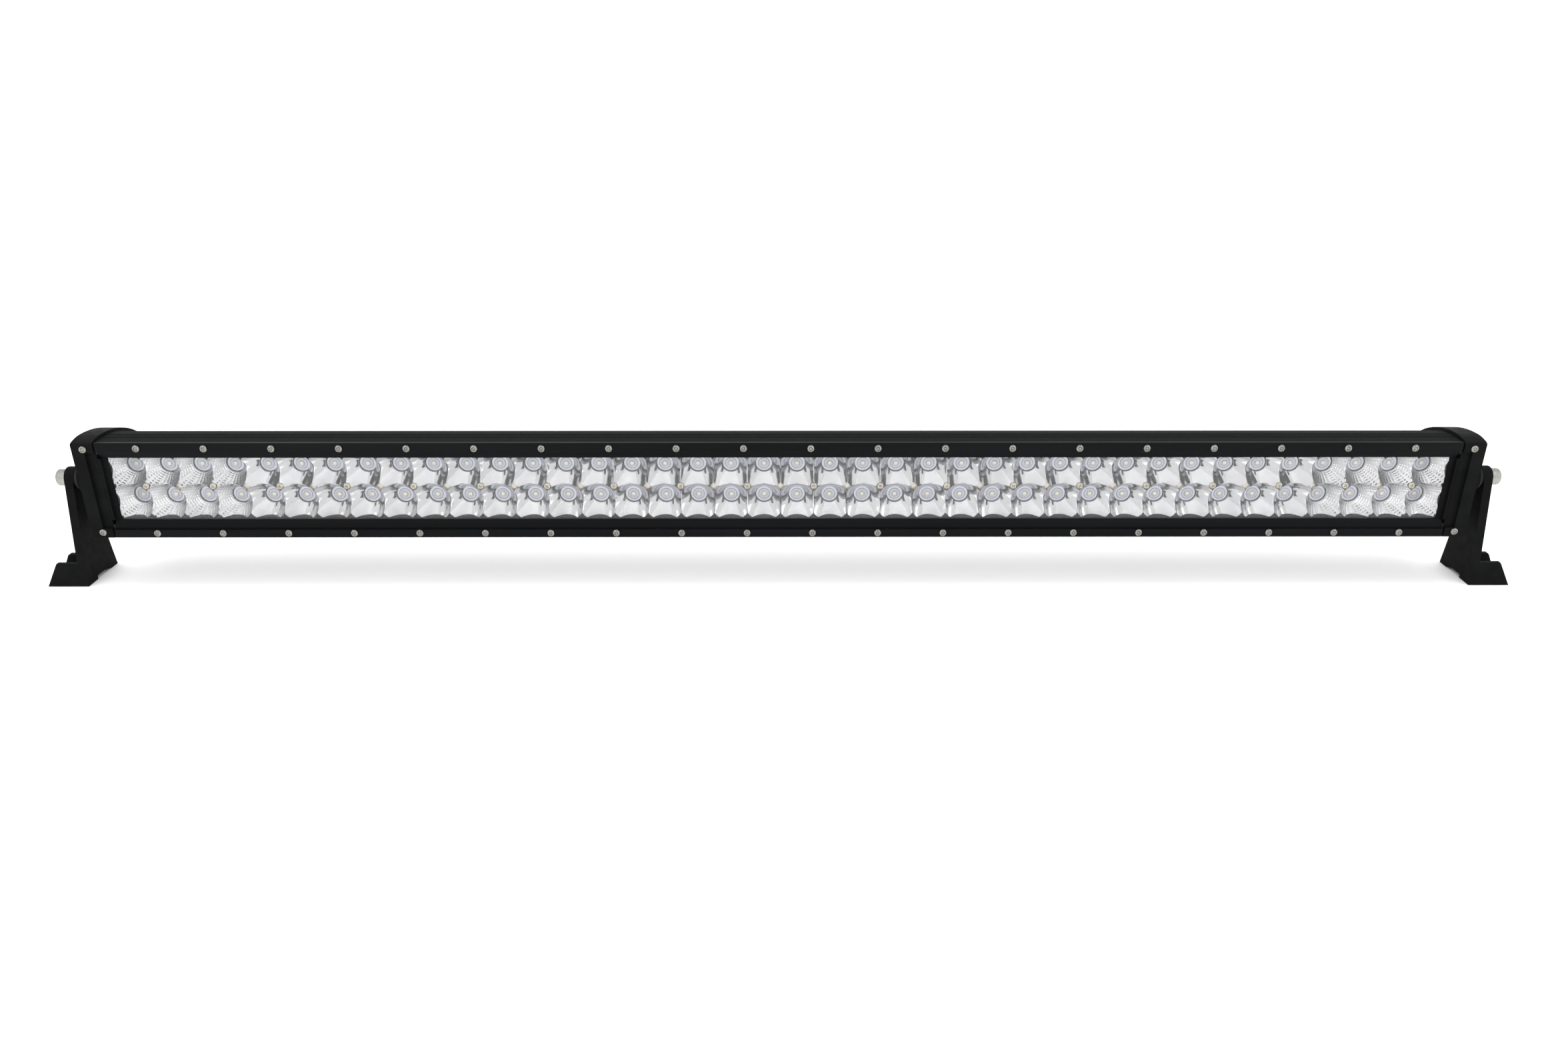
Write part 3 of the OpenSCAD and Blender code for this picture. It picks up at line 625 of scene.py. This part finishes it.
def make_leds():
    """Each LED is a ringed body on a pale pad, with a yellowish die under a clear dome; a thin
    black ring of painted shade lies on the board round each pad.
    """
    pads, shade_rings, bodies, cups, domes, dies = (bmesh.new() for _ in range(6))
    pad_r = 6.3
    pad_h = 0.6
    shade_ring_r = 8.0
    body_h = 1.1
    dome_r = 2.8
    ring_r = (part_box("led_bodies")[1].z - MID_Z) / MM - CELL
    for x, z in led_places():
        at = facing(x, BOARD_FRONT, z, FORWARD)
        lathe(pads, [(0, -0.02), (pad_r, -0.02), (pad_r, pad_h - 0.1), (pad_r - 0.1, pad_h),
                     (0, pad_h)], at, 40)
        # Painted shade: this black ring on the board round each pad stands for the shadowed gap
        # under the reflector's neck.
        lathe(shade_rings, [(0, -0.02), (shade_ring_r, -0.02), (shade_ring_r, 0.05), (shade_ring_r - 0.1, 0.1), (0, 0.1)],
              at, 40)
        lathe(bodies, [(0, 0.1), (ring_r, 0.1), (ring_r, 0.8), (ring_r - 0.15, body_h),
                       (ring_r - 0.75, body_h), (ring_r - 0.9, 0.9), (0, 0.9)], at, 40)
        lathe(cups, [(0, 0.85), (ring_r - 0.9, 0.85), (ring_r - 1.0, 1.0), (0, 1.0)], at, 32)
        lathe(domes, [(0, body_h)] +
              [(dome_r * math.cos(t), body_h + dome_r * math.sin(t))
               for t in (math.radians(a) for a in range(0, 90, 10))] +
              [(0, body_h + dome_r)], at, 32)
        square_tile(bodies, at @ Matrix.Translation((0, 0, 0.95)), 1.6, 0.15)
        square_tile(dies, at @ Matrix.Translation((0, 0, 1.05)), 1.25, 0.25)
    for bm in (pads, bodies, cups, domes):
        sharpen(bm, 40)
    piece("led_pads", pads, pad)
    piece("led_painted_shade_rings", shade_rings, rubber)
    piece("led_cups", cups, cup)
    piece("led_packages", bodies, package, stands_for=["led_bodies"])
    piece("led_lenses", domes, dome, stands_for=["led_domes"])
    piece("led_dies", dies, phosphor)


# ---- CAD parts that keep their shape ----------------------------------

def soften(node, material, width):
    """Gives a CAD part its finish and, where a width is given, narrow rounded edges."""
    part = nodes[node]
    part.data.materials.clear()
    part.data.materials.append(material)
    if not width:
        return
    weld = part.modifiers.new("weld", "WELD")
    weld.merge_threshold = 1e-6
    flat = part.modifiers.new("flat_faces", "DECIMATE")
    flat.decimate_type = "DISSOLVE"
    flat.angle_limit = math.radians(0.5)
    edge = part.modifiers.new("edges", "BEVEL")
    edge.width = width * MM
    edge.segments = 2
    edge.limit_method = "ANGLE"
    edge.angle_limit = math.radians(35)
    part.modifiers.new("even_normals", "WEIGHTED_NORMAL").keep_sharp = True


def finish_cad_parts():
    finishes = [
        (powder, 0.3, ["housing"]),
        (cast, 0.5, ["left_end_cap", "right_end_cap", "left_bracket", "right_bracket"]),
        (rubber, 0.15, ["left_cap_gasket", "right_cap_gasket", "gland_o_ring", "gland_seal",
                        "left_friction_washer", "right_friction_washer"]),
        (nylon, 0.25, ["gland_body", "breather_vent"]),
        (mask, 0, ["left_led_board", "right_led_board"]),
        (board_green, 0, ["driver_board"]),
        (clear, 0, ["lens"]),
        (rubber, 0, ["lens_gasket"]),
    ]
    for material, width, names in finishes:
        for name in names:
            soften(name, material, width)


# ---- Studio -----------------------------------------------------------

def card(name, corners, material):
    """A flat staged sheet."""
    bm = bmesh.new()
    bm.faces.new([bm.verts.new(corner) for corner in corners])
    mesh = bpy.data.meshes.new(name)
    bm.to_mesh(mesh)
    bm.free()
    mesh.materials.append(material)
    sheet = bpy.data.objects.new(name, mesh)
    bpy.context.scene.collection.objects.link(sheet)
    return sheet


def make_floor():
    """A pale floor, and a dark card in front of the lamp for its bowls to reflect."""
    half = 30
    card("floor", [(-half, -half, 0), (half, -half, 0), (half, half, 0), (-half, half, 0)],
         surface("pale_floor", (0.93, 0.93, 0.93), (0.95, 0.95, 0.95), (0.7, 0.8),
                 2, 40, 0.00001, specular=0.1))
    flag = card("dark_flag", [(-0.9, -2.4, 0.5), (0.9, -2.4, 0.5),
                              (0.9, -2.4, 1.0), (-0.9, -2.4, 1.0)],
                surface("dark_cloth", (0.01, 0.01, 0.01), (0.015, 0.015, 0.015), (0.8, 0.9),
                        20, 200, 0.0001, specular=0.0))
    flag.visible_camera = False
    flag.visible_diffuse = False
    flag.visible_shadow = False


def area_light(name, at, aim, size, power):
    data = bpy.data.lights.new(name, "AREA")
    data.shape = "RECTANGLE"
    data.size, data.size_y = size
    data.energy = power
    light = bpy.data.objects.new(name, data)
    light.location = at
    light.rotation_euler = (Vector(aim) - Vector(at)).to_track_quat("-Z", "Y").to_euler()
    bpy.context.scene.collection.objects.link(light)


def make_lights():
    """A bright sky that is a little darker straight up, soft sun and two soft boxes."""
    world = bpy.data.worlds.new("studio")
    world.use_nodes = True
    tree = world.node_tree
    background = tree.nodes["Background"]
    background.inputs["Strength"].default_value = 1.5
    direction = tree.nodes.new("ShaderNodeTexCoord")
    split = tree.nodes.new("ShaderNodeSeparateXYZ")
    tree.links.new(direction.outputs["Generated"], split.inputs["Vector"])
    sky_colour = ramp(tree, split.outputs["Z"], [(0.7, (1, 1, 1)), (0.95, (0.55, 0.55, 0.56))])
    tree.links.new(sky_colour, background.inputs["Color"])
    bpy.context.scene.world = world
    sky = bpy.data.lights.new("overhead", "SUN")
    sky.angle = math.radians(70)
    sky.energy = 2.0
    overhead = bpy.data.objects.new("overhead", sky)
    overhead.rotation_euler = (math.radians(-18), math.radians(-10), 0)
    overhead.visible_glossy = False
    bpy.context.scene.collection.objects.link(overhead)
    area_light("key", (-0.9, -1.0, 1.5), (0, 0, 0.05), (1.4, 0.7), 5)
    area_light("fill", (1.2, -0.8, 1.3), (0, 0, 0.05), (1.2, 0.7), 3)
    bpy.context.scene.view_settings.view_transform = "Standard"


def make_camera():
    """Stands a little above the bar and looks down on it, from in front of its middle."""
    data = bpy.data.cameras.new("camera")
    data.sensor_width = 36
    data.lens = 26.68
    data.clip_start = 0.01
    camera = bpy.data.objects.new("camera", data)
    camera.location = (-0.0014, -0.8352, 0.4047)
    down = math.radians(23.32)
    right = math.radians(0.286)
    roll = math.radians(0.067)
    turn = (Matrix.Rotation(-right, 4, "Z") @ Matrix.Rotation(math.pi / 2 - down, 4, "X")
            @ Matrix.Rotation(roll, 4, "Z"))
    camera.rotation_euler = turn.to_euler()
    bpy.context.scene.collection.objects.link(camera)
    bpy.context.scene.camera = camera


make_camera()
make_lights()
make_floor()
finish_cad_parts()
make_bezels()
make_bezel_screws()
make_cap_screws()
make_pivot_bolts()
make_gland_nut()
make_reflectors()
make_spacers()
make_potting()
make_reflector_screws()
make_leds()
